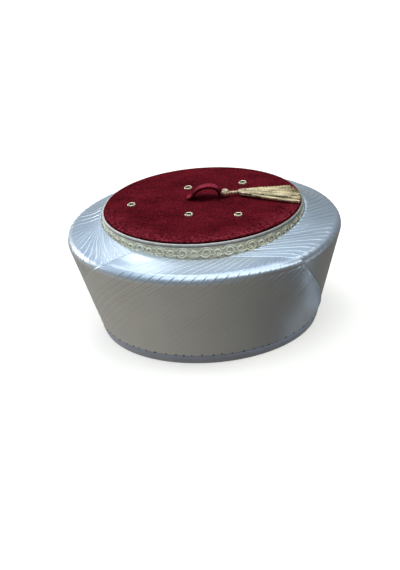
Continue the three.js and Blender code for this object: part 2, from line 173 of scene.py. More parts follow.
# Passes of satin round the rim: start angle, sense of the pleats, and the turn of a pleat line from
# the rim to the braid, given at a few pleats counted from the leading edge
RISING_TURN = {"pleat": (0, 2, 8, 14), "turn": (11, 17, 20, 27)}
PASSES = (
    {"name": "wrap_front", "start": -51.0, "side": 1, "sheen": "across", **RISING_TURN},
    {
        "name": "wrap_right", "start": 39.0, "side": -1, "sheen": "across",
        "soft": ((0, 20), (1, 1)),
        "cords": {"wall": 0.12, "rim": 0.35},
        "pleat": (0, 20),
        "turn": (27, 27),
    },
    {"name": "wrap_back", "start": 129.0, "side": 1, "sheen": "across", **RISING_TURN},
    {
        "name": "wrap_left", "start": 219.0, "side": -1, "sheen": "along",
        "slit": 13, "wall_slit": 2.4,
        "soft": ((5, 16), (0.45, 0.85)),
        "cords": {"wall": 1.3, "rim": 0.25, "top": 0.75},
        "pleat": (0, 4, 7, 10, 12, 15, 18, 20, 22, 24),
        "turn": (14, 4, -5, -5, -3, 9, 20, 27, 34, 36),
    },
)


# Soft step from 0 at the start to 1 at the end
def rise(x, start, end):
    x = np.clip((x - start) / (end - start), 0.0, 1.0)
    return x * x * (3 - 2 * x)


def bell(x, height, width):
    return height * np.exp(-((x / width) ** 2))


def lerp(a, b, t):
    return a + (b - a) * t


def full_circle(steps):
    return np.arange(steps) * 360.0 / steps


def wall_radius(z):
    return BASE_RADIUS + z * tan(WALL_LEAN)


def crown_radius(z):
    share = (z - CROWN_FOOT_Z) / (CROWN_TOP_Z - CROWN_EDGE_ROUND - CROWN_FOOT_Z)
    return lerp(HEAD_RADIUS + CROWN_WALL, CROWN_TOP_RADIUS, share)


def wrap_edge_z(angle):
    return WRAP_EDGE_Z - WRAP_SWING * np.cos(np.radians(2 * (angle - WRAP_SWING_ANGLE)))


# Share of the satin's rise against the crown, full at the two sides
def collar_share(angle):
    turn = np.abs((angle + 180.0) % 360.0 - 180.0)
    return rise(turn, *COLLAR_FRONT) * rise(turn, *COLLAR_BACK)


def ring_points(r, angle, z):
    a = np.radians(angle)
    return np.stack(np.broadcast_arrays(r * np.sin(a), -r * np.cos(a), z), axis=-1)


def add_object(name, data):
    obj = bpy.data.objects.new(name, data)
    bpy.context.scene.collection.objects.link(obj)
    return obj


# Mesh object from vertices in millimetres and faces
def mesh_object(name, vertices, faces, material, sharp_angle=None, uv=None):
    mesh = bpy.data.meshes.new(name)
    mesh.from_pydata((np.asarray(vertices, float) * MM).tolist(), [], [list(map(int, f)) for f in faces])
    mesh.validate()
    if uv is not None:
        corners = [corner.vertex_index for corner in mesh.loops]
        layer = mesh.uv_layers.new(name="cloth")
        layer.data.foreach_set("uv", np.asarray(uv, np.float32)[corners].ravel())
    mesh.shade_smooth()
    if sharp_angle is not None:
        mesh.set_sharp_from_angle(angle=radians(sharp_angle))
    mesh.materials.append(material)
    return add_object(name, mesh)


# Quads between rings of equal length, each ring closed on itself
def ring_faces(rings, sides, closed_path=False):
    below = np.arange(rings * sides).reshape(rings, sides)
    above = np.roll(below, -1, axis=0)
    quads = np.stack([below, np.roll(below, -1, axis=1), np.roll(above, -1, axis=1), above], axis=-1)
    spans = rings if closed_path else rings - 1
    return quads[:spans].reshape(-1, 4).tolist()


def cap_faces(rings, sides):
    last = (rings - 1) * sides
    return [tuple(range(sides))[::-1], tuple(range(last, last + sides))]


# Closed profile of radius and height pairs turned about +Z
def turned(profile, segments, centre=(0.0, 0.0)):
    r, z = np.asarray(profile, float).T
    vertices = ring_points(r, full_circle(segments)[:, None], z).reshape(-1, 3)
    vertices[:, :2] += centre
    return vertices, [f[::-1] for f in ring_faces(segments, len(r), closed_path=True)]


def path_frames(path):
    run = np.gradient(path, axis=0)
    run /= np.linalg.norm(run, axis=1)[:, None]
    across = np.zeros_like(run)
    guide = np.array([0.0, 0.0, 1.0])
    for i, r in enumerate(run):
        a = np.cross(guide, r)
        if np.linalg.norm(a) < 1e-3:
            a = np.cross([0.0, 1.0, 0.0], r)
        across[i] = a / np.linalg.norm(a)
        guide = np.cross(r, across[i])
    return across, np.cross(run, across)


# Round tube along a path; a section with two lobes and a twist looks like a plied cord
def tube(path, radius, sides, lobe=0.0, twist_mm=inf, closed=False):
    path = np.asarray(path, float)
    across, upright = path_frames(path)
    step = np.linalg.norm(np.diff(path, axis=0), axis=1)
    along = np.concatenate([[0.0], np.cumsum(step)])
    turn = np.arange(sides) * 2 * pi / sides
    size = np.broadcast_to(radius, len(path))[:, None] * (1 + lobe * np.cos(2 * turn))
    a = turn + 2 * pi * along[:, None] / twist_mm
    rings = path[:, None] + (size * np.cos(a))[..., None] * across[:, None]
    rings += (size * np.sin(a))[..., None] * upright[:, None]
    caps = [] if closed else cap_faces(len(path), sides)
    return rings.reshape(-1, 3), ring_faces(len(path), sides, closed) + caps


# Vertices and faces gathered from several tubes
class Heap:
    def __init__(self):
        self.vertices = []
        self.faces = []
        self.count = 0

    def add_tube(self, path, radius, sides=6, **shape):
        vertices, faces = tube(path, radius, sides, **shape)
        self.vertices.append(vertices)
        self.faces.extend([[v + self.count for v in face] for face in faces])
        self.count += len(vertices)

    def add_cord(self, path, radius, twist_mm, closed=False):
        self.add_tube(path, radius, sides=8, lobe=PLY_LOBE, twist_mm=twist_mm, closed=closed)

    def object(self, name, material):
        return mesh_object(name, np.concatenate(self.vertices), self.faces, material)


def spline(points, steps):
    points = np.asarray(points, float)
    padded = np.vstack([2 * points[0] - points[1], points, 2 * points[-1] - points[-2]])
    u = np.linspace(0, len(points) - 1, steps)
    first = np.minimum(u.astype(int), len(points) - 2)
    a, b, c, d = (padded[first + k] for k in range(4))
    t = (u - first)[:, None]
    bend = (2 * a - 5 * b + 4 * c - d) * t**2 + (3 * b - a - 3 * c + d) * t**3
    return 0.5 * (2 * b + (c - a) * t + bend)


# Node tree of a material or of the world, built up from small steps
class Shader:
    def __init__(self, name, kind="materials"):
        self.block = getattr(bpy.data, kind).new(name)
        self.block.use_nodes = True
        self.nodes = self.block.node_tree.nodes
        self.links = self.block.node_tree.links

    def feed(self, socket, value):
        if hasattr(value, "is_linked"):
            self.links.new(value, socket)
        else:
            socket.default_value = (*value, 1.0) if socket.type == "RGBA" else value

    def node(self, kind, feeds, **settings):
        made = self.nodes.new(kind)
        for key, value in settings.items():
            setattr(made, key, value)
        for key, value in feeds.items():
            self.feed(made.inputs[key], value)
        return made.outputs

    def space(self, kind="Object", scale=(1, 1, 1)):
        source = self.node("ShaderNodeTexCoord", {})[kind]
        return self.node("ShaderNodeMapping", {"Vector": source, "Scale": scale})["Vector"]

    def axes(self, vector):
        return self.node("ShaderNodeSeparateXYZ", {0: vector})

    def noise(self, vector, scale, detail=3.0, roughness=0.55):
        feeds = {"Vector": vector, "Scale": scale, "Detail": detail, "Roughness": roughness}
        return self.node("ShaderNodeTexNoise", feeds)["Fac"]

    def map(self, value, low, high, to_low=0.0, to_high=1.0):
        feeds = {"Value": value, "From Min": low, "From Max": high, "To Min": to_low, "To Max": to_high}
        return self.node("ShaderNodeMapRange", feeds)["Result"]

    def mix(self, share, first, second):
        return self.node("ShaderNodeMix", {0: share, 6: first, 7: second}, data_type="RGBA")[2]

    def math(self, operation, first, second):
        return self.node("ShaderNodeMath", {0: first, 1: second}, operation=operation)[0]

    def add(self, first, second):
        return self.math("ADD", first, second)

    def times(self, first, second):
        return self.math("MULTIPLY", first, second)

    def bump(self, height, strength, distance):
        feeds = {"Height": height, "Strength": strength, "Distance": distance}
        return self.node("ShaderNodeBump", feeds)["Normal"]

    def set(self, **values):
        for key, value in values.items():
            self.feed(self.nodes["Principled BSDF"].inputs[key.replace("_", " ")], value)
        return self.block


# Usual range of the noise
MOTTLE = (0.3, 0.7)


# Surface mottled between two tones and, where given, two roughnesses
def mottled(name, scale, detail, dark, light, rough=None, **values):
    s = Shader(name)
    marks = s.noise(s.space(), scale, detail)
    if rough:
        values["Roughness"] = s.map(marks, *MOTTLE, *rough)
    s.set(Base_Color=s.mix(s.map(marks, *MOTTLE), dark, light), **values)
    return s


# Satin with its sheen stretched by a share, at a turn from the run of the pleats
def satin_material(name, stretch, turn):
    s = Shader(name)
    streaks = s.noise(s.space("UV", (6, 900, 1)), 1.0, 4.0)
    creases = s.noise(s.space("UV", (5, 430, 1)), 1.0, 2.0)
    patches = s.noise(s.space(), 28.0, 3.0)
    bands = {"Vector": s.space("UV"), "Scale": 1100.0}
    threads = s.node("ShaderNodeTexWave", bands, wave_type="BANDS", bands_direction="Y")["Fac"]
    weave = s.add(s.times(threads, 0.03), s.times(streaks, 0.06))
    tone = s.add(s.map(streaks, *MOTTLE, -0.4, 0.4), s.map(patches, *MOTTLE, 0.2, 0.8))
    return s.set(
        Base_Color=s.mix(tone, (0.60, 0.605, 0.62), (0.68, 0.685, 0.70)),
        Roughness=s.map(streaks, *MOTTLE, 0.27, 0.35),
        Normal=s.bump(s.add(weave, creases), 0.55, 0.0003),
        Tangent=s.node("ShaderNodeTangent", {}, direction_type="UV_MAP", uv_map="cloth")["Tangent"],
        Metallic=0.5, Anisotropic=stretch, Anisotropic_Rotation=turn,
    )


def band_material():
    s = mottled("satin_binding", 60.0, 4.0, (0.38, 0.385, 0.45), (0.47, 0.475, 0.55), (0.34, 0.46))
    weave = s.noise(s.space("Object", (1, 1, 3)), 1400.0, 2.0)
    return s.set(Normal=s.bump(weave, 0.3, 0.0001), Sheen_Weight=0.15)


# Pile of the velvet: fine specks, soft tufts and faint brush marks
def velvet_marks(s, place, sheen):
    pile = s.noise(s.space("Object", (1.0, 0.6, 1.0)), 620.0, 2.0, 0.7)
    tufts = s.noise(place, 320.0, 4.0, 0.7)
    brushed = s.noise(s.space("Object", (1.0, 1.5, 1.0)), 40.0, 5.0, 0.65)
    specks = s.add(s.map(pile, 0.46, 0.74, 0.2, 0.9), s.map(tufts, 0.38, 0.64, 0.0, 0.2))
    s.set(
        Normal=s.bump(s.add(pile, tufts), 0.35, 0.0003),
        Roughness=1.0, Specular_IOR_Level=0.0,
        Sheen_Weight=sheen, Sheen_Roughness=0.4, Sheen_Tint=(0.8, 0.10, 0.18),
    )
    return s.add(specks, s.map(brushed, 0.35, 0.68, -0.16, 0.28)), tufts


# Oval of painted shadow on the velvet under the strap
def painted_strap_shadow(s, x, y):
    across = s.math("DIVIDE", s.math("SUBTRACT", x, 0.0015), 0.0145)
    along = s.math("DIVIDE", s.math("SUBTRACT", y, 0.0100), 0.0095)
    reach = s.add(s.times(across, across), s.times(along, along))
    return s.map(reach, 1.15, 0.5, 0.0, 0.85)


# Velvet of the crown, with a painted sheen in patches along its front edge and a painted shadow under the
# strap
def velvet_material():
    s = Shader("velvet_pile")
    place = s.space()
    marks, tufts = velvet_marks(s, place, 0.05)
    x, y, _ = s.axes(place)
    reach = s.add(s.times(x, x), s.times(y, y))
    # Lighter pile in patches along the front edge only: painted sheen
    edge = s.times(s.map(reach, 0.068**2, 0.086**2), s.map(y, 0.02, -0.05))
    front_sheen = s.times(edge, s.map(tufts, 0.46, 0.66))
    pile = s.mix(marks, (0.038, 0.0023, 0.0038), (0.183, 0.0110, 0.0166))
    pile = s.mix(front_sheen, pile, (0.36, 0.038, 0.052))
    # Painted shadow under the strap, laid over the pile
    return s.set(Base_Color=s.mix(painted_strap_shadow(s, x, y), pile, (0.026, 0.0015, 0.0026)))


# Velvet of the strap: its pile darker than the crown's as painted shade, and a painted highlight along the
# top of its arch
def strap_material():
    s = Shader("velvet_strap_painted_light")
    marks, tufts = velvet_marks(s, s.space(), 0.08)
    _, _, upward = s.axes(s.space("Normal"))
    # Painted highlight where the strap faces upward
    painted_top_highlight = s.times(s.map(upward, 0.55, 0.95), s.map(tufts, 0.30, 0.62, 0.25, 1.0))
    # Darker pile tones than the crown's: painted shade on the strap
    pile = s.mix(marks, (0.030, 0.0018, 0.0030), (0.135, 0.0085, 0.0130))
    return s.set(Base_Color=s.mix(painted_top_highlight, pile, (0.40, 0.038, 0.056)))


# Share of the braid's right side that is given painted shade
def painted_right_shade(s, place):
    return s.map(s.axes(place)["X"], 0.02, 0.075, 0.0, 0.62)


# Woven ground of the braid, with a grey seam under its upper selvages and painted shade on its right side
def braid_ground_material():
    s = Shader("braid_ground")
    place = s.space()
    weave = s.noise(place, 1300.0, 3.0, 0.7)
    patches = s.noise(place, 420.0, 3.0)
    z = s.axes(place)["Z"]
    seam = s.times(s.map(z, 0.1048, 0.1053), s.map(z, 0.1064, 0.1060))
    woven = s.mix(s.map(s.add(weave, patches), 0.75, 1.2), (0.58, 0.48, 0.35), (1.0, 0.90, 0.67))
    ground = s.mix(seam, woven, (0.34, 0.33, 0.32))
    return s.set(
        # Darker right side: painted shade
        Base_Color=s.mix(painted_right_shade(s, place), ground, (0.20, 0.18, 0.13)),
        Roughness=s.map(weave, *MOTTLE, 0.45, 0.7),
        Normal=s.bump(weave, 0.6, 0.0003),
        Metallic=0.1, Specular_IOR_Level=0.4,
    )


# Thread laid on the braid: fine ply, two tones in patches and a darker tone painted on the right side as
# shade
def thread_material(name, ply_scale, patch_noise, patch_range, tones, painted_shade_tone, rough, **values):
    s = Shader(name)
    place = s.space()
    ply = s.noise(place, ply_scale, 2.0, 0.6)
    patches = s.map(s.noise(place, *patch_noise), *patch_range)
    return s.set(
        Base_Color=s.mix(painted_right_shade(s, place), s.mix(patches, *tones), painted_shade_tone),
        Roughness=s.map(ply, *MOTTLE, *rough),
        Normal=s.bump(ply, 0.4, 0.0002),
        **values,
    )


# Gold cord with dark streaks that fan out from the bound head as painted shade between the strands, painted
# shade at its upper tips and a painted highlight at the knot, stem and head
def gold_material():
    s = Shader("gold_cord")
    place = s.space()
    x, y, z = s.axes(place)
    slope = s.math("DIVIDE", s.math("SUBTRACT", y, 0.0096), s.math("SUBTRACT", x, 0.006))
    fan = {"X": s.times(slope, 34.0), "Y": s.times(x, 60.0), "Z": s.times(z, 200.0)}
    # Dark streaks along the fan: painted shade between the strands
    strand_shade = s.noise(s.node("ShaderNodeCombineXYZ", fan)[0], 1.0, 4.0, 0.75)
    ply = s.noise(place, 1800.0, 2.0)
    # Painted shade at the far, upper tips
    tip = s.times(s.map(x, 0.066, 0.087), s.map(y, -0.014, 0.008))
    # Painted highlight, lighter and pinker, at the knot, stem and head
    head_highlight = s.map(x, 0.044, 0.034)
    bright = s.mix(head_highlight, s.mix(tip, (1.0, 0.73, 0.39), (0.40, 0.26, 0.10)), (1.0, 0.70, 0.45))
    dark = s.mix(head_highlight, (0.095, 0.048, 0.012), (0.22, 0.13, 0.06))
    return s.set(
        Base_Color=s.mix(s.map(strand_shade, 0.40, 0.54), dark, bright),
        Roughness=s.map(ply, *MOTTLE, 0.22, 0.38),
        Normal=s.bump(ply, 0.3, 0.0002),
        Metallic=0.5, Specular_IOR_Level=0.6,
    )


def floor_material():
    s = Shader("studio_floor")
    tone = s.mix(s.noise(s.space(), 3.0, 2.0), (0.88, 0.74, 0.61), (0.90, 0.76, 0.63))
    s.set(Base_Color=tone, Roughness=0.9, Specular_IOR_Level=0.1)
    return s.set(Emission_Color=(1.0, 1.0, 1.0), Emission_Strength=0.41)


SATINS = {
    "across": satin_material("satin_across", 0.6, 0.25),
    "along": satin_material("satin_along", 0.5, 0.0),
}
BAND = band_material()
VELVET = velvet_material()
STRAP = strap_material()
BRAID_GROUND = braid_ground_material()
# The tone after the pair of patch tones is painted shade for the braid's right side
BRAID_THREAD = thread_material(
    "braid_thread", 1700.0, (90.0, 3.0), (0.35, 0.65), ((0.97, 0.87, 0.62), (1.0, 0.95, 0.77)),
    (0.42, 0.37, 0.24), (0.32, 0.5), Metallic=0.1,
)
# The tone after the pair of patch tones is painted shade for the braid's right side
SELVAGE = thread_material(
    "braid_selvage", 1500.0, (220.0, 4.0, 0.7), (0.3, 0.62), ((0.60, 0.51, 0.45), (0.88, 0.77, 0.69)),
    (0.10, 0.09, 0.08), (0.4, 0.6), Specular_IOR_Level=0.4,
)
GOLD = gold_material()
BRASS = mottled(
    "brass_polished", 700.0, 4.0, (0.98, 0.73, 0.42), (1.0, 0.86, 0.60), (0.20, 0.30), Metallic=0.75
).block
# Near-black inside of the eyelet bores: painted shade
BORE_SHADE = mottled(
    "bore_painted_shade", 900.0, 3.0, (0.010, 0.008, 0.006), (0.035, 0.026, 0.016), (0.5, 0.8), Specular_IOR_Level=0.2
).block
STITCH = mottled("stitch_thread", 2200.0, 2.0, (0.05, 0.05, 0.055), (0.13, 0.13, 0.14), Roughness=0.7).block


# Place of a piece in the part: its body, and the solids that it stands for, which are hidden
def dress(obj, slot, *nodes):
    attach(obj, BODY)
    if nodes:
        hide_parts(*nodes)


# Outline of the satin: radius, height and outward direction at a row
def wrap_outline(zone, t, angle):
    edge_z = wrap_edge_z(angle)
    out = RIM_CENTRE_R - WRAP_EDGE_RADIUS
    up = edge_z - RIM_CENTRE_Z
    top_lean = np.arctan2(up, out) - np.arcsin(RIM_ROUND / np.hypot(out, up))
    share = {"wall": 0.0, "rim": t}.get(zone, 1.0)
    turn = lerp(-WALL_LEAN, pi / 2 - top_lean, share)
    r = RIM_CENTRE_R + RIM_ROUND * np.cos(turn)
    z = RIM_CENTRE_Z + RIM_ROUND * np.sin(turn)
    collar = COLLAR_RISE * collar_share(angle)
    if zone == "wall":
        z = lerp(WRAP_FOOT_Z, z, t)
        r = wall_radius(z)
    if zone == "top":
        r = lerp(r, WRAP_EDGE_RADIUS, t)
        z = lerp(z, edge_z, t) + collar * (max(t - COLLAR_START, 0.0) / (1 - COLLAR_START)) ** 2
    if zone == "hem":
        roll = t * pi / 2
        inward = EDGE_ROLL_IN * sin(roll)
        down = EDGE_ROLL_DOWN * (1 - cos(roll))
        r = WRAP_EDGE_RADIUS - inward + 0 * angle
        z = edge_z + collar + lerp(-down, COLLAR_SLOPE * inward, collar_share(angle))
        turn = turn + roll
    return r, z, np.cos(turn), np.sin(turn)


def line_angle(index, zone, t, pleat):
    run = PASSES[index % len(PASSES)]
    laps = 360.0 * (index // len(PASSES))
    side = run["side"]
    if zone == "wall":
        turn = lerp(-RIM_TURN, FOOT_TURN[side], (1 - t) ** WALL_TURN_POWER[side])
    elif zone == "rim":
        turn = lerp(-RIM_TURN, RIM_TURN, t)
    else:
        braid_turn = np.interp(pleat, run["pleat"], run["turn"])
        share = 1.0 if zone == "hem" else t**TOP_TURN_POWER
        turn = lerp(RIM_TURN, braid_turn, share)
    return run["start"] + laps + PLEAT_PITCH * pleat + side * turn


def right_edge(index, zone, t):
    return min(line_angle(index + 1, zone, t, 0.0), line_angle(index + 2, zone, t, 0.0))


def row_width(index, zone, t):
    return right_edge(index, zone, t) - line_angle(index, zone, t, 0.0)


# One pleat of a rising pass: a slow rise, a thin fold at its crest and a steep fall
def lapped_section(f):
    slope = (1 - PLEAT_FOLD) * f / PLEAT_CREST
    fold = bell(f - PLEAT_CREST, PLEAT_FOLD, FOLD_WIDTH)
    section = np.where(f < PLEAT_CREST, slope + fold, rise(f, 1.0, PLEAT_CREST))
    return section - bell(np.minimum(f, 1 - f), *PLEAT_GROOVE)


# One pleat of a falling pass: a flat band between two rounded folds
def corded_section(f):
    return bell(np.minimum(f, 1 - f), CORD_HEIGHT, CORD_WIDTH) + (1 - CORD_HEIGHT) * (1 - f)


# Depth of the slit between two pleats of a falling pass
def pleat_slit(run, zone, t, pleat, spacing):
    f = pleat % 1.0
    after, before = SLIT_WIDTHS
    cut = bell(f, SLIT_MM, after) + bell(1 - f, SLIT_MM, before)
    share = rise(pleat, run["slit"] + SLIT_FADE, run["slit"] - SLIT_FADE)
    if zone == "wall":
        share = np.maximum(share, run["wall_slit"] * rise(t, *SLIT_RISE))
    return share * cut * np.clip(spacing, *SLIT_SPACING)


def falling_pleats(run, zone, t, pleat, spacing, depth):
    depth = depth * np.interp(pleat, *run["soft"]) * run["cords"].get(zone, 1.0)
    ridges = depth * corded_section(pleat % 1.0)
    if "slit" in run:
        ridges = ridges - pleat_slit(run, zone, t, pleat, spacing)
    return ridges


# Pleats of a rising pass, with finer ones between them and deep lines in its right end
def rising_pleats(zone, t, pleat, gap_mm, depth):
    least = 0.0 if zone == "rim" else FINE_LEAST
    fine = np.maximum(FINE_MOST * rise(pleat, *FINE_PLEATS), least)
    main = lapped_section(pleat % 1.0) * (1 - FINE_MAIN_LOSS * fine)
    section = main + FINE_HALF_HEIGHT * fine * lapped_section(2 * pleat % 1.0)
    leaf = rise(gap_mm, LEAF_REACH, 0.0)
    if zone == "wall":
        soft = WALL_SOFTNESS * rise(t, 1.0, 2 / 3) * (1 - leaf)
        section = lerp(section, 0.5 - 0.5 * np.cos(2 * pi * pleat), soft)
        depth = depth * (1 - CALM_LOSS * rise(pleat, *CALM_PLEATS) + LEAF_LINES * leaf)
    if zone == "rim":
        depth = depth * (1 - LEAF_RIM_LOSS * leaf)
    return depth * section


# Crease along the rim of a rising pass, sharper and lower towards its right end
def rim_crease(zone, t, gap_mm):
    near = rise(gap_mm, CREASE_REACH, 0.0)
    at = (CREASE_AT - CREASE_DROP * near) * RIM_ARC_MM
    place = {"wall": (t - 1) * WALL_RUN_MM, "rim": t * RIM_ARC_MM}.get(zone, RIM_ARC_MM + t * TOP_RUN_MM)
    return near * bell(place - at, *CREASE)


# Right end of a rising pass: a soft swell, then a dip under the edge of the next pass
def leaf_swell(zone, t, gap_mm):
    wall = rise(t, 0.0, 2 / 3) * lerp(1.0, LEAF_RIM_SHARE, rise(t, 0.75, 1.0))
    share = {"wall": wall, "rim": LEAF_RIM_SHARE, "top": LEAF_RIM_SHARE * (1 - t) ** 2, "hem": 0.0}[zone]
    near = rise(gap_mm, 0.0, LEAF_MM)
    swell = LEAF_SWELL * near * rise(gap_mm, LEAF_REACH, LEAF_MM)
    return share * (swell - LEAF_DIP * (1 - near))


# Lift of the leading edge over the pass below it, slight on the wall
def edge_lift(side, zone, t):
    raised = {"top": rise(t, 0.0, LIFT_RUN), "hem": 1.0}.get(zone, 0.0)
    lift = OVERLAP_LIFT[side] * lerp(WALL_LIFT_SHARE, 1.0, raised)
    if zone == "top" and side > 0:
        lift += SHOULDER_LIFT * rise(t, 0.0, 0.4) * rise(t, 1.0, 0.8)
    return lift


# Height of the satin over its outline along one row
def wrap_relief(run, zone, t, pleat, angle, right, strength):
    side = run["side"]
    gap_mm = (right - angle) * DEGREE_MM
    spacing = np.gradient(angle, pleat) / PLEAT_PITCH
    row_depth = np.interp(t, *PLEAT_DEPTHS[side][zone])
    depth = row_depth * np.clip(spacing, *PLEAT_SPACING) * strength
    if side > 0:
        ridges = rising_pleats(zone, t, pleat, gap_mm, depth)
        swell = rim_crease(zone, t, gap_mm) + leaf_swell(zone, t, gap_mm)
    else:
        ridges = falling_pleats(run, zone, t, pleat, spacing, depth)
        swell = 0.0
    plain = PLAIN_PLEATS[side]
    ridges = ridges * rise(pleat, plain, plain + PLAIN_FADE) * rise(gap_mm, 0.0, 1.5 * TUCK_MM)
    lift = edge_lift(side, zone, t) * rise(pleat, OVERLAP_PLEATS, 0.0)
    folded = np.sin(np.clip(pleat * PLEAT_MM / EDGE_ROLL_MM, 0, 1) * pi / 2)
    sag = SAG * np.sin(np.radians(angle * 3 + 40)) * np.sin(np.radians(angle * 7.3 + 10))
    return (ridges + lift + swell) * folded - EDGE_DROP * (1 - folded) + sag * row_depth


# Lowest row of a pass: a falling pass starts where its edges meet
def first_row(index):
    if row_width(index, "wall", 0.0) > 0:
        return 0.0
    low, high = 0.0, 1.0
    for _ in range(40):
        middle = (low + high) / 2
        low, high = (low, middle) if row_width(index, "wall", middle) > 0 else (middle, high)
    return high


def wrap_rows(index):
    rows = [("wall", first_row(index))]
    for zone, steps in ZONE_ROWS:
        start = first_row(index) if zone == "wall" else 0.0
        rows += [(zone, lerp(start, 1.0, i / steps)) for i in range(1, steps + 1)]
    return rows


# Columns of a pass: even, unevenly spaced, and the strength of the pleat at each
def pass_columns(index, rows):
    widest = max(row_width(index, zone, t) for zone, t in rows)
    pleats = ceil(widest / PLEAT_PITCH) + SPARE_PLEATS
    inside = np.arange(pleats)[:, None] + np.array(PLEAT_FRACTIONS[PASSES[index]["side"]])
    even = np.unique(np.concatenate([EDGE_FRACTIONS, inside.ravel()]))
    jitter = np.concatenate([[0.0], rng.uniform(-PLEAT_JITTER, PLEAT_JITTER, pleats + 1)])
    strengths = rng.uniform(*PLEAT_STRENGTH, pleats + 2)
    moved = even + np.interp(even, np.arange(len(jitter)), jitter)
    return even, moved, strengths[np.floor(even).astype(int)]


# Angles of the columns of a row as far as its right edge, and that edge
def cut_row(index, zone, t, columns):
    start = line_angle(index, zone, t, 0.0)
    end = right_edge(index, zone, t)
    tuck = TUCK_MM * rise((end - start) * DEGREE_MM, 0.0, TUCK_WIDTH) / DEGREE_MM
    right = max(end + tuck, start)
    angle = line_angle(index, zone, t, columns)
    inside = angle < right
    last = len(columns) - 1 if inside.all() else int(np.argmin(inside))
    return np.minimum(angle[: last + 1], right), right


# Rows of vertices of one pass, with their places on the cloth
class Sheet:
    def __init__(self):
        self.vertices = []
        self.uv = []
        self.count = 0

    # Vertex numbers of a new row: columns past the right edge share the last vertex
    def add_row(self, points, along, columns):
        size = len(points)
        numbers = self.count + np.minimum(np.arange(len(columns)), size - 1)
        self.vertices.append(points)
        self.uv.append(np.stack([np.full(size, along * MM), columns[:size] * PLEAT_MM * MM], axis=-1))
        self.count += size
        return numbers


def face_rows(sheet, index, rows, even, moved, strength):
    numbers = []
    before = None
    along = 0.0
    for zone, t in rows:
        kept, right = cut_row(index, zone, t, moved)
        size = len(kept)
        height = np.zeros(size)
        if size > 2:
            angle = line_angle(index, zone, t, moved[:size])
            height = wrap_relief(PASSES[index], zone, t, even[:size], angle, right, strength[:size])
        r, z, out_r, out_z = wrap_outline(zone, t, kept)
        place = (r[0], z[0])
        along += dist(before or place, place)
        before = place
        points = ring_points(r + height * out_r, kept, z + height * out_z)
        numbers.append(sheet.add_row(points, along, even))
    return numbers


# Inner wall of a pass, with one column at each pleat
def inner_rows(sheet, index, rows, columns):
    numbers = []
    for zone, t in rows:
        kept, _ = cut_row(index, zone, t, columns)
        share = lerp(*INNER_SHARE[zone], t)
        r = lerp(INNER_FOOT_RADIUS, INNER_TOP_RADIUS, share)
        z = lerp(WRAP_FOOT_Z, wrap_edge_z(kept) - INNER_DROP, share)
        numbers.append(sheet.add_row(ring_points(r, kept, z), 0.0, columns))
    return numbers


def drop_flat(faces):
    return [f for f in faces if len(set(f)) == 3]


def grid_faces(rows, flipped):
    faces = []
    for low, high in zip(rows, rows[1:]):
        quads = np.stack([low[:-1], low[1:], high[1:], high[:-1]], axis=1)
        for a, b, c, d in quads.tolist():
            pair = ((a, b, c), (a, c, d))
            faces.extend([f[::-1] for f in pair] if flipped else pair)
    return drop_flat(faces)


# Strip of triangles between a coarse and a fine row of vertices
def zip_rows(coarse, fine, flipped):
    coarse = np.unique(coarse).tolist()
    fine = np.unique(fine).tolist()
    faces = []
    i = k = 0
    while i + 1 < len(coarse) or k + 1 < len(fine):
        behind = (i + 1) / len(coarse) <= (k + 1) / len(fine)
        on_coarse = k + 1 == len(fine) or (i + 1 < len(coarse) and behind)
        tip = coarse[i + 1] if on_coarse else fine[k + 1]
        faces.append((coarse[i], fine[k], tip) if flipped else (coarse[i], tip, fine[k]))
        i, k = (i + 1, k) if on_coarse else (i, k + 1)
    return faces


# Ends and edges between the face and the inner wall of a pass
def closing_faces(outer, inner):
    faces = []
    for low_in, high_in, low_out, high_out in zip(inner, inner[1:], outer, outer[1:]):
        a, b, c, d = low_in[0], low_out[0], high_out[0], high_in[0]
        faces += [(a, b, c), (a, c, d)]
        a, b, c, d = low_in[-1], low_out[-1], high_out[-1], high_in[-1]
        faces += [(a, d, c), (a, c, b)]
    foot = zip_rows(inner[0], outer[0], False)
    top = zip_rows(inner[-1], outer[-1], True)
    return drop_flat(faces + foot + top)


# One pass of satin: pleated face, inner wall, ends and edges, as one closed body
def make_pass(index):
    run = PASSES[index]
    rows = wrap_rows(index)
    even, moved, strength = pass_columns(index, rows)
    sheet = Sheet()
    outer = face_rows(sheet, index, rows, even, moved, strength)
    inner = inner_rows(sheet, index, rows, np.arange(0, ceil(even[-1]), 1.0))
    faces = grid_faces(outer, False) + grid_faces(inner, True) + closing_faces(outer, inner)
    vertices = np.concatenate(sheet.vertices)
    uv = np.concatenate(sheet.uv)
    obj = mesh_object(run["name"] + "_satin", vertices, faces, SATINS[run["sheen"]], 70, uv)
    dress(obj, "satin", run["name"])


# Binding at the base: a folded strip with soft edges and a pucker at each stitch
BAND_ROUND = 0.9
BAND_SWELL = 0.35
BAND_STEPS = 360
PUCKER = (0.35, 0.28)
STITCHES = 72
STITCH_Z = 9.0
STITCH_HALF = 0.75
STITCH_RADIUS = 0.42


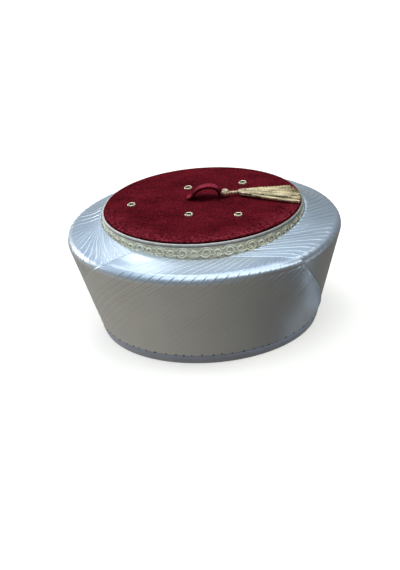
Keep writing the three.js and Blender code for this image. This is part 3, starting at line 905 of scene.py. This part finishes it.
# Rows round the binding: radius, height and share of the puckers
def band_rows():
    inner = crown_radius(CROWN_FOOT_Z) + CLEARANCE
    rows = [(HEAD_RADIUS, 0.0, 0.0), (HEAD_RADIUS + 2.5, 0.0, 0.0), (BASE_RADIUS - BAND_ROUND, 0.0, 0.0)]
    for turn in np.radians((-60, -30, 0)):
        r = wall_radius(BAND_ROUND) - 0.5 + 0.7 * cos(turn)
        rows.append((r, BAND_ROUND + BAND_ROUND * sin(turn), 0.0))
    for share in (0.15, 0.35, 0.55, 0.72, 0.85):
        z = lerp(BAND_ROUND, BAND_HEIGHT, share)
        rows.append((wall_radius(z) + 0.2 + BAND_SWELL * sin(pi * share), z, share))
    top = wall_radius(BAND_HEIGHT)
    rows += [(top + 0.05, BAND_HEIGHT - 0.15, 1.0), (top - 0.6, BAND_HEIGHT, 0.0)]
    rows += [(inner, BAND_HEIGHT, 0.0), (inner, BAND_FLANGE, 0.0), (HEAD_RADIUS, BAND_FLANGE, 0.0)]
    return rows


def make_band():
    rows = band_rows()
    angles = full_circle(BAND_STEPS)
    phase = np.abs(((angles * STITCHES / 360.0 + 0.5) % 1.0) - 0.5) * 2
    pucker = bell(phase, *PUCKER)
    soft = 0.12 * np.sin(np.radians(angles * 11 + 20)) + 0.08 * np.sin(np.radians(angles * 23 + 75))
    rings = [ring_points(r + share * (soft - share * pucker), angles, z) for r, z, share in rows]
    faces = ring_faces(len(rows), BAND_STEPS, closed_path=True)
    dress(mesh_object("base_binding", np.concatenate(rings), faces, BAND, 50), "satin", "base_band")


def make_stitches():
    heap = Heap()
    u = np.linspace(-1, 1, 7)
    for i in range(STITCHES):
        centre = (i + 0.2 * sin(i * 5.1)) * 360.0 / STITCHES
        half = degrees(STITCH_HALF / RIM_CENTRE_R) * (1 + 0.45 * sin(i * 2.4))
        z = STITCH_Z + 0.25 * sin(i * 1.7) + 0.12 * u
        r = wall_radius(STITCH_Z) + 0.35 * (1 - u**2) - 0.1
        heap.add_tube(ring_points(r, centre + half * u, z), STITCH_RADIUS * (1 - 0.35 * u**2))
    dress(heap.object("hem_stitches", STITCH), "satin")


# Velvet crown: soft flat top with a rounded edge, upright wall, hollow and open below
CROWN_STEPS = 180
EYELET_PLACES = ((-62.6, 4.6), (-11.6, 35.4), (37.9, 38.1), (-12.3, -28.2), (30.3, -36.7))
EYELET_HOLE = 2.7
EDGE_RADIUS = 87.0
EDGE_FOLD = 0.7
FLAT_RADIUS = EDGE_RADIUS - EDGE_FOLD
GROOVE_RADIUS = 85.0
GROOVE_Z = 108.5
WAVE_HEIGHT = 0.09
WAVE_FADE = 12.0


# Half section of the crown, from the hollow round the foot to the middle of the top
def crown_profile():
    profile = [(CROWN_TOP_RADIUS - CROWN_WALL, CROWN_TOP_Z - CROWN_WALL)]
    profile += [(HEAD_RADIUS, CROWN_FOOT_Z), (HEAD_RADIUS + CROWN_WALL, CROWN_FOOT_Z)]
    profile += [(crown_radius(z), z) for z in np.linspace(10, GROOVE_Z - 1.6, 10)]
    profile += [(GROOVE_RADIUS, GROOVE_Z - 0.8), (GROOVE_RADIUS, GROOVE_Z)]
    for turn in np.radians((-60, -25, 0, 25, 50, 70, 90)):
        r = EDGE_RADIUS - EDGE_FOLD * (1 - cos(turn))
        profile.append((r, CROWN_TOP_Z - EDGE_FOLD * (1 - sin(turn))))
    profile += [(r, CROWN_TOP_Z) for r in np.linspace(FLAT_RADIUS, 2.0, 50)[1:]]
    return profile


# Soft waves of the top, which fade out at its edge
def top_waves(x, y):
    waves = np.sin(x / 9 + 0.6 * np.sin(y / 13)) * np.sin(y / 11 + 0.8) + 0.6 * np.sin(x / 5.1 + y / 6.3)
    return WAVE_HEIGHT * waves * rise(np.hypot(x, y), FLAT_RADIUS, FLAT_RADIUS - WAVE_FADE)


def cut_holes(obj):
    cutters = Heap()
    for x, y in EYELET_PLACES:
        path = [(x, y, CROWN_TOP_Z + share * CROWN_WALL) for share in (-3, -1, 1)]
        cutters.add_tube(path, EYELET_HOLE, sides=32)
    cutter = cutters.object("cutter", VELVET)
    cut = obj.modifiers.new("holes", "BOOLEAN")
    cut.operation = "DIFFERENCE"
    cut.solver = "EXACT"
    cut.object = cutter
    bpy.context.view_layer.update()
    done = bpy.data.meshes.new_from_object(obj.evaluated_get(bpy.context.evaluated_depsgraph_get()))
    obj.modifiers.clear()
    obj.data = done
    done.shade_smooth()
    done.set_sharp_from_angle(angle=radians(50))
    bpy.data.objects.remove(cutter)


def make_crown():
    profile = crown_profile()
    angles = full_circle(CROWN_STEPS)
    vertices = np.concatenate([ring_points(r, angles, z) for r, z in profile])
    on_top = vertices[:, 2] > CROWN_TOP_Z - 0.01
    vertices[on_top, 2] += top_waves(*vertices[on_top, :2].T)
    faces = ring_faces(len(profile), CROWN_STEPS)
    count = len(vertices)
    last = count - CROWN_STEPS
    vertices = np.vstack([vertices, [[0, 0, CROWN_TOP_Z], [0, 0, CROWN_TOP_Z - CROWN_WALL]]])
    for k in range(CROWN_STEPS):
        n = (k + 1) % CROWN_STEPS
        faces.append((last + k, last + n, count))
        faces.append((n, k, count + 1))
    obj = mesh_object("velvet_crown", vertices, faces, VELVET)
    cut_holes(obj)
    dress(obj, "velvet", "crown")


# Brass eyelets: a rolled ring over the velvet, a barrel and a rolled edge below
EYELET_BORE = 2.45
EYELET_BARREL = 2.6
EYELET_FLANGE = 3.75
EYELET_RISE = 1.2
SHADED_BORE_FACES = 5


def eyelet_profile():
    roll_z = CROWN_TOP_Z - CROWN_WALL - CLEARANCE
    lip = EYELET_BARREL - 0.15
    profile = [(lip, roll_z - 0.9), (3.0, roll_z - 0.9), (3.2, roll_z - 0.7), (3.2, roll_z)]
    profile += [(EYELET_BARREL, roll_z), (EYELET_BARREL, SEAT_Z), (EYELET_FLANGE - 0.15, SEAT_Z)]
    middle = (EYELET_FLANGE + EYELET_BORE) / 2
    half = (EYELET_FLANGE - EYELET_BORE) / 2
    for turn in np.radians(np.arange(-20, 201, 20)):
        z = SEAT_Z + 0.35 + EYELET_RISE * max(sin(turn), -0.4)
        profile.append((middle + half * cos(turn), z))
    profile.append((lip, SEAT_Z - 0.1))
    return profile


def make_eyelets():
    profile = eyelet_profile()
    for number, place in enumerate(EYELET_PLACES, start=1):
        vertices, faces = turned(profile, 40, place)
        obj = mesh_object(f"eyelet_ring_{number}", vertices, faces, BRASS, 40)
        # Faces inside the bore take the near-black painted shade
        obj.data.materials.append(BORE_SHADE)
        for face in obj.data.polygons:
            face.material_index = int(face.index % len(profile) >= len(profile) - SHADED_BORE_FACES)
        dress(obj, "brass", f"eyelet_{number}")


# Velvet strap arched over the middle of the top
LOOP_CENTRE = (2.9, 8.8)
LOOP_SPIN = -5.9
LOOP_WIDTH = 9.0
LOOP_THICKNESS = 3.0
LOOP_SIDES = 28
LOOP_LINE = ((-15.5, 1.0), (-11.5, 2.9), (-6.5, 8.4), (0, 11.2), (7.5, 11.0), (12.2, 7.6), (13.2, 1.0))


def signed_power(x, power):
    return np.copysign(np.abs(x) ** power, x)


def make_loop():
    line = spline(LOOP_LINE, 60)
    run = np.gradient(line, axis=0)
    run /= np.linalg.norm(run, axis=1)[:, None]
    turn = np.linspace(0, 2 * pi, LOOP_SIDES, endpoint=False)
    wide = signed_power(np.cos(turn), 0.45) * LOOP_WIDTH / 2
    thick = signed_power(np.sin(turn), 0.7) * LOOP_THICKNESS / 2
    along = line[:, :1] - run[:, 1:] * thick
    z = CROWN_TOP_Z + np.maximum(line[:, 1:] + run[:, :1] * thick, 0.0)
    spin = radians(LOOP_SPIN)
    x = LOOP_CENTRE[0] + along * cos(spin) - wide * sin(spin)
    y = LOOP_CENTRE[1] + along * sin(spin) + wide * cos(spin)
    vertices = np.stack([x, y, z], axis=-1).reshape(-1, 3)
    faces = ring_faces(len(line), LOOP_SIDES) + cap_faces(len(line), LOOP_SIDES)
    obj = mesh_object("strap_loop", vertices, [f[::-1] for f in faces], STRAP, 60)
    dress(obj, "velvet", "crown_loop")


# Braid: woven ribbon with raised selvages and a running scroll laid on it in thread
BRAID_STEPS = 360
SELVAGES = ((BRAID_TOP_Z - 0.55, 0.5), (BRAID_TOP_Z - 1.15, 0.5), (BRAID_FOOT_Z + 0.7, 0.6))
SELVAGE_WAVE = 0.05
SCROLLS = 28
SCROLL_Z = 100.2
SCROLL_PITCH = 360.0 / SCROLLS
SCROLL_WIND = (-150.0, 330.0)
STEM_SPAN = (-0.32, 0.32)

# Spirals of one scroll: place in the pitch, size, sense, flattening and drop
SPIRALS = ((0.0, 4.7, 1, 0.95, 0.0), (0.5, 3.7, -1, 0.9, 0.3))


def braid_face(z):
    return crown_radius(z) + CLEARANCE + BRAID_THICKNESS


def make_ribbon():
    top = BRAID_TOP_Z - 0.2
    profile = [(crown_radius(BRAID_FOOT_Z) + CLEARANCE, BRAID_FOOT_Z)]
    profile += [(braid_face(z) - 0.25, z) for z in np.linspace(BRAID_FOOT_Z, top, 14)]
    profile.append((crown_radius(BRAID_TOP_Z) + CLEARANCE, top))
    vertices, faces = turned(profile, BRAID_STEPS)
    dress(mesh_object("braid_ribbon", vertices, faces, BRAID_GROUND, 50), "braid", "braid")


def make_selvages():
    heap = Heap()
    angles = full_circle(2 * BRAID_STEPS)
    for z, radius in SELVAGES:
        r = braid_face(z) - 0.1 + SELVAGE_WAVE * np.sin(np.radians(angles * 170))
        heap.add_tube(ring_points(r, angles, z), radius, sides=8, closed=True)
    dress(heap.object("braid_selvage", SELVAGE), "braid")


def add_spiral(heap, start, size, sense, flat, drop):
    u = np.linspace(0, 1, 34)
    wind = np.radians(lerp(*SCROLL_WIND, u))
    grow = lerp(size, 0.35 * size, u**0.85)
    angle = start + np.degrees(grow * np.cos(wind) * sense / braid_face(SCROLL_Z))
    z = SCROLL_Z + grow * np.sin(wind) * flat - drop
    heap.add_tube(ring_points(braid_face(z) + 0.05, angle, z), lerp(1.05, 0.75, u))


# Stem that joins two spirals, above or below them
def add_stem(heap, start, sense):
    u = np.linspace(0, 1, 18)
    angle = start + lerp(*STEM_SPAN, u) * SCROLL_PITCH
    z = SCROLL_Z + np.clip((3.4 - 1.6 * np.cos(2 * pi * u)) * sense, -4.6, 4.4)
    heap.add_tube(ring_points(braid_face(z), angle, z), 0.5)


def make_scroll():
    heap = Heap()
    for i in range(SCROLLS):
        for place, *spiral in SPIRALS:
            add_spiral(heap, (i + place) * SCROLL_PITCH, *spiral)
        for place, sense in ((0.0, 1), (0.5, -1)):
            add_stem(heap, (i + place) * SCROLL_PITCH, sense)
    dress(heap.object("braid_scroll", BRAID_THREAD), "braid")


# Tassel: knotted cord, bound head and a fan of plied cords gathered in locks; heights are over the top
TASSEL_ROOT = (34.0, 9.6, 3.0)
TASSEL_ROOT_WIDTH = 4.4
TASSEL_LOCKS = 9
CORDS_PER_LOCK = 9
CORD_RADIUS = 0.66
CORD_TWIST = (4.6, 5.6)
CORD_SPARE = (-2.2, 0.3)
CORD_BOW = 0.5
PLY_LOBE = 0.28
TASSEL_FAN = (-12.8, 11.8)
TASSEL_REACH = (87.4, 87.0, 82.4)
LOOSE_LOCK = 2.2
SEAT = np.array([0.0, 0.0, SEAT_Z])
KNOT_CENTRE = (21.0, 8.5, 4.0)
KNOT_STUB = ((18.6, 8.2, 4.2), (16.6, 7.8, 3.4))
STEM_ENDS = ((22.5, 8.9, 3.4), (35.5, 9.6, 3.0))
STEM_TURNS = 2.6
HEAD_X = (33.4, 38.6)
HEAD_COIL = (2.3, 3.1)
HEAD_TURNS = 4.2

# Rings of the knot: tilt, spin and size
KNOT_RINGS = ((10, 0, 2.7), (65, 30, 2.6), (-60, 70, 2.6), (40, 110, 2.5), (-35, 150, 2.5), (80, 100, 2.2))


def straight(ends, steps):
    start, end = np.array(ends)
    return lerp(start, end, np.linspace(0, 1, steps)[:, None])


def add_lock(heap, lock):
    share = lock / (TASSEL_LOCKS - 1)
    turn = radians(lerp(*TASSEL_FAN, share))
    reach = np.interp(share, (0.0, 0.5, 1.0), TASSEL_REACH)
    end = np.array([reach * cos(turn), reach * sin(turn), 1.7 + 0.4 * (lock % 2)])
    root = np.array(TASSEL_ROOT) + (0.0, (share - 0.5) * TASSEL_ROOT_WIDTH, 0.0)
    side = np.array([-sin(turn), cos(turn), 0.0])
    run = (end - root) / np.linalg.norm(end - root)
    loose = LOOSE_LOCK if lock == 0 else 0.0
    u = np.linspace(0, 1, 96)
    spread = lerp(0.55, 1.3, rise(u, 0.0, 1 / 1.1))
    arch = 0.9 * np.sin(pi * np.minimum(u * 1.3, 1)) * (1 - u)
    for cord in range(CORDS_PER_LOCK):
        across = (cord % 3 - 1) * 0.8 + rng.uniform(-0.22, 0.22)
        up = (cord // 3 - 1) * 1.0 + rng.uniform(-0.2, 0.2)
        bow = rng.uniform(-CORD_BOW, CORD_BOW)
        spare = rng.uniform(*CORD_SPARE)
        path = lerp(root, end, u[:, None])
        path += side * (across * spread + (bow - loose) * np.sin(pi * u))[:, None]
        path[:, 2] += up * lerp(0.9, 0.55, u) + arch
        path += run * (spare * u**3)[:, None]
        path[:, 2] = np.maximum(path[:, 2], 0.65) + CROWN_TOP_Z
        heap.add_cord(path, CORD_RADIUS, rng.uniform(*CORD_TWIST))


def add_knot(heap):
    u = np.linspace(0, 2 * pi, 49)[:-1]
    for tilt, spin, size in KNOT_RINGS:
        circle = np.stack([size * np.cos(u), size * np.sin(u), 0.25 * np.sin(2 * u)], axis=1)
        tilted = Matrix.Rotation(radians(tilt), 3, "Y")
        turn = np.array(Matrix.Rotation(radians(spin), 3, "Z") @ tilted)
        heap.add_cord(SEAT + KNOT_CENTRE + circle @ turn.T, 0.95, 2.9, closed=True)


# Two cords twisted together from the knot to the bound head
def add_stem_cords(heap):
    for phase in (0.0, pi):
        core = SEAT + straight(STEM_ENDS, 60)
        wind = 2 * pi * np.linspace(0, 1, 60) * STEM_TURNS + phase
        core[:, 1] += 0.75 * np.cos(wind)
        core[:, 2] += 0.75 * np.sin(wind)
        heap.add_cord(core, 0.85, 2.8)


def add_head(heap):
    u = np.linspace(0, 1, 150)
    wind = 2 * pi * HEAD_TURNS * u
    swell = lerp(*HEAD_COIL, u)
    y = TASSEL_ROOT[1] + swell * np.cos(wind)
    z = SEAT_Z + 2.9 + 0.82 * swell * np.sin(wind)
    heap.add_cord(np.stack([lerp(*HEAD_X, u), y, z], axis=1), 0.72, 2.6)


def make_tassel():
    heap = Heap()
    for lock in range(TASSEL_LOCKS):
        add_lock(heap, lock)
    add_knot(heap)
    add_stem_cords(heap)
    add_head(heap)
    heap.add_cord(SEAT + straight(KNOT_STUB, 12), 0.8, 2.8)
    dress(heap.object("tassel_cords", GOLD), "gold_thread", "tassel")


# Stage: floor, sky light, lamps and camera, in metres
CAMERA_ELEVATION = 24.04
CAMERA_DISTANCE = 1.5
CAMERA_TARGET = (0.0, 0.0, 0.05)
CAMERA_ROLL = -4.3
CAMERA_LENS = 105.46
CAMERA_SHIFT = (-0.0120, -0.0366)
FLOOR_HALF = 9.0
FLOOR_STEPS = 24
LAMP_TARGET = (0.0, 0.0, 0.06)

# Lamps: name, place, size, power and colour
LAMPS = (
    ("window", (-0.35, 1.15, 1.69), (0.55, 0.46), 4.5, (0.87, 0.96, 1.0)),
    ("side_window", (-1.55, 1.01, 0.63), (0.92, 0.92), 13.5, (0.90, 0.97, 1.0)),
)

# Glows of the sky: centre, squeeze, strength and stops of colour
EVEN = (1.0, 1.0, 1.0)
BLACK = (0.0, 0.0, 0.0)
AMBIENT_STOPS = (
    (-0.2, (0.010, 0.012, 0.015)),
    (0.30, (0.040, 0.056, 0.078)),
    (0.60, (0.145, 0.225, 0.345)),
    (0.85, (0.395, 0.59, 0.87)),
    (1.0, (0.50, 0.745, 1.0)),
)
FRONT_STOPS = ((0.77, BLACK), (0.87, (0.28, 0.34, 0.39)), (0.95, (0.82, 0.95, 1.0)))
RIGHT_STOPS = ((0.93, BLACK), (0.97, (0.30, 0.36, 0.41)), (0.99, (0.86, 0.96, 1.0)))
LOW_STOPS = ((0.935, BLACK), (0.972, (0.28, 0.35, 0.44)), (0.993, (0.60, 0.74, 0.90)))
SKY_GLOWS = (
    ((-0.34, 0.13, 0.93), EVEN, 0.94, AMBIENT_STOPS),
    ((0.08, -0.22, 0.97), (0.7, 1.0, 1.0), 2.2, FRONT_STOPS),
    ((0.75, 0.08, 0.65), EVEN, 2.5, RIGHT_STOPS),
    ((0.86, 0.12, -0.49), EVEN, 1.15, LOW_STOPS),
)
TABLE_STOPS = ((-1.0, (0.196, 0.180, 0.143)), (-0.2, (0.166, 0.152, 0.121)), (0.1, BLACK))
TABLE_STRENGTH = (2.95, 0.10)


def make_camera():
    data = bpy.data.cameras.new("photo_view")
    data.lens = CAMERA_LENS
    data.shift_x, data.shift_y = CAMERA_SHIFT
    camera = add_object("photo_view", data)
    up = radians(CAMERA_ELEVATION)
    place = Vector(CAMERA_TARGET) + CAMERA_DISTANCE * Vector((0.0, -cos(up), sin(up)))
    turn = Matrix.Rotation(pi / 2 - up, 4, "X") @ Matrix.Rotation(radians(CAMERA_ROLL), 4, "Z")
    camera.matrix_world = Matrix.Translation(place) @ turn
    bpy.context.scene.camera = camera


def make_floor():
    line = np.linspace(-FLOOR_HALF, FLOOR_HALF, FLOOR_STEPS + 1) / MM
    vertices = [(x, y, 0.0) for y in line for x in line]
    rows = np.arange(len(vertices)).reshape(len(line), -1)
    floor = mesh_object("floor", vertices, grid_faces(rows, False), floor_material())
    floor.visible_diffuse = False
    floor.visible_glossy = False


def make_lamp(name, place, size, power, colour):
    data = bpy.data.lights.new(name, "AREA")
    data.shape = "RECTANGLE"
    data.size, data.size_y = size
    data.energy = power
    data.color = colour
    lamp = add_object(name, data)
    lamp.location = place
    lamp.rotation_euler = (Vector(LAMP_TARGET) - Vector(place)).to_track_quat("-Z", "Y").to_euler()


def sky_ramp(s, value, stops):
    ramp = s.nodes.new("ShaderNodeValToRGB")
    elements = ramp.color_ramp.elements
    while len(elements) < len(stops):
        elements.new(0.5)
    for element, (at, colour) in zip(elements, stops):
        element.position = (at + 1) / 2
        element.color = (*colour, 1.0)
    s.feed(ramp.inputs[0], s.map(value, -1.0, 1.0))
    return ramp.outputs["Color"]


# Light that depends on how near a direction lies to a centre
def add_glow(s, centre, squeeze, strength, stops):
    kind = "ShaderNodeVectorMath"
    scaled = s.node(kind, {0: s.space("Generated"), 1: squeeze}, operation="MULTIPLY")[0]
    unit = s.node(kind, {0: scaled}, operation="NORMALIZE")[0]
    facing = s.node(kind, {0: unit, 1: Vector(centre).normalized()}, operation="DOT_PRODUCT")["Value"]
    feeds = {"Color": sky_ramp(s, facing, stops), "Strength": strength}
    return s.node("ShaderNodeBackground", feeds)[0]


# Warm light from below, stronger on the left
def add_table_glow(s):
    x, _, z = s.axes(s.space("Generated"))
    feeds = {"Color": sky_ramp(s, z, TABLE_STOPS), "Strength": s.map(x, -1.0, 1.0, *TABLE_STRENGTH)}
    return s.node("ShaderNodeBackground", feeds)[0]


def make_sky():
    s = Shader("studio", "worlds")
    total = add_table_glow(s)
    for glow in SKY_GLOWS:
        total = s.node("ShaderNodeAddShader", {0: total, 1: add_glow(s, *glow)})[0]
    s.feed(s.nodes["World Output"].inputs["Surface"], total)
    bpy.context.scene.world = s.block


make_camera()
make_floor()
make_sky()
for lamp in LAMPS:
    make_lamp(*lamp)
bpy.context.scene.view_settings.view_transform = "Standard"
make_crown()
make_ribbon()
make_selvages()
make_scroll()
make_band()
make_stitches()
for index in range(len(PASSES)):
    make_pass(index)
make_eyelets()
make_loop()
make_tassel()
